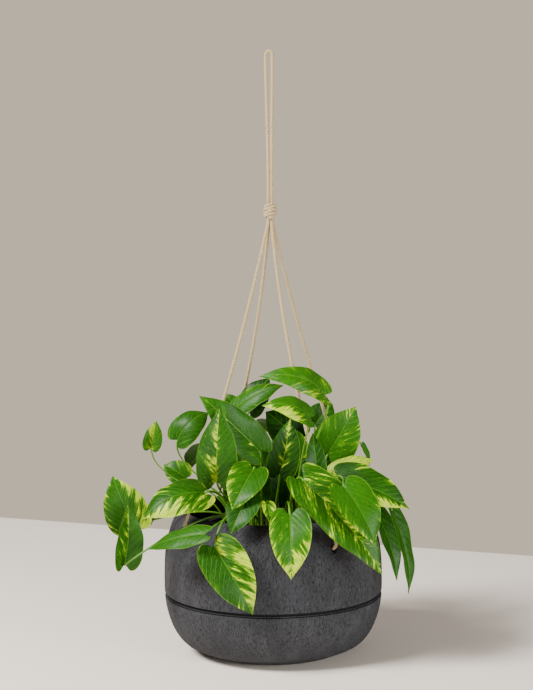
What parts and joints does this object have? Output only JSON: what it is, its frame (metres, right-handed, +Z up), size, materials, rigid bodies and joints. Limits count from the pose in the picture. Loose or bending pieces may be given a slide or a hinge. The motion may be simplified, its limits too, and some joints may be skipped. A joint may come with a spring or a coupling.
{
  "type": "hanging planter",
  "caption": "Rounded charcoal fibre-clay pot hung on four cotton cords from a wrapped gathering knot and a long top loop, planted with a trailing variegated pothos.",
  "frame": {"origin": "bearing point of the hook, on the inside of the top loop's crown", "axes": "+Z up along the hanging line, away from the pot; -Y is the front, where the first cord hole is turned 34 degrees to the right"},
  "size_m": [0.4131, 0.3482, 0.8175],
  "materials": {
    "fibre_clay": "matte, fine vertical bark-like score marks",
    "cotton_cord": "twisted natural cotton, undyed cream",
    "grow_pot_plastic": "satin black, thin walled",
    "potting_mix": "moist bark and coir crumbs",
    "leaf_green": "waxy leaf with yellow flecks",
    "leaf_pale": "waxy leaf, broad cream and yellow streaks",
    "leaf_dark": "waxy dark green leaf"
  },
  "bodies": {
    "hook_loop": {"loop_crown": "cotton_cord"},
    "loop_legs": {"loop_leg_left": "cotton_cord", "loop_leg_right": "cotton_cord"},
    "gathering_knot": {"knot_wrap": "cotton_cord", "knot_core": "cotton_cord"},
    "planter": {"pot_shell": "fibre_clay", "grow_pot": "grow_pot_plastic", "potting_mix": "potting_mix", "cord_front_right": "cotton_cord", "cord_back_right": "cotton_cord", "cord_back_left": "cotton_cord", "cord_front_left": "cotton_cord", "stopper_front_right": "cotton_cord", "stopper_back_right": "cotton_cord", "stopper_back_left": "cotton_cord", "stopper_front_left": "cotton_cord", "leaf_01": "leaf_green", "leaf_02": "leaf_dark", "leaf_03": "leaf_green", "leaf_04": "leaf_green", "leaf_05": "leaf_green", "leaf_06": "leaf_green", "leaf_07": "leaf_green", "leaf_08": "leaf_pale", "leaf_09": "leaf_green", "leaf_10": "leaf_pale", "leaf_11": "leaf_green", "leaf_12": "leaf_green", "leaf_13": "leaf_pale", "leaf_14": "leaf_pale", "leaf_15": "leaf_pale", "leaf_16": "leaf_green", "leaf_17": "leaf_green", "leaf_18": "leaf_pale", "leaf_19": "leaf_green", "leaf_20": "leaf_green", "leaf_21": "leaf_green", "leaf_22": "leaf_pale", "leaf_23": "leaf_dark", "leaf_24": "leaf_dark", "leaf_25": "leaf_green", "leaf_26": "leaf_green", "leaf_27": "leaf_dark", "leaf_28": "leaf_green", "leaf_29": "leaf_green", "leaf_30": "leaf_dark", "leaf_31": "leaf_dark", "leaf_32": "leaf_dark", "leaf_33": "leaf_green", "leaf_34": "leaf_dark", "leaf_35": "leaf_dark", "leaf_36": "leaf_green", "leaf_37": "leaf_green", "leaf_38": "leaf_green", "leaf_39": "leaf_green", "leaf_40": "leaf_green", "leaf_41": "leaf_green", "leaf_42": "leaf_green", "leaf_43": "leaf_dark", "leaf_44": "leaf_dark"}
  },
  "joints": [
    {"name": "loop_swing", "type": "hinge", "parent": "hook_loop", "child": "loop_legs", "pos_m": [0, 0, -0.002], "axis": [0, 1, 0], "range_deg": [-18, 18]},
    {"name": "loop_twist", "type": "hinge", "parent": "loop_legs", "child": "gathering_knot", "pos_m": [0, 0, -0.199], "axis": [0, 0, 1], "range_deg": [-180, 180], "stiffness_Nm_per_rad": 0.01},
    {"name": "knot_flex", "type": "hinge", "parent": "gathering_knot", "child": "planter", "pos_m": [0, 0, -0.224], "axis": [1, 0, 0], "range_deg": [-18, 18]}
  ]
}
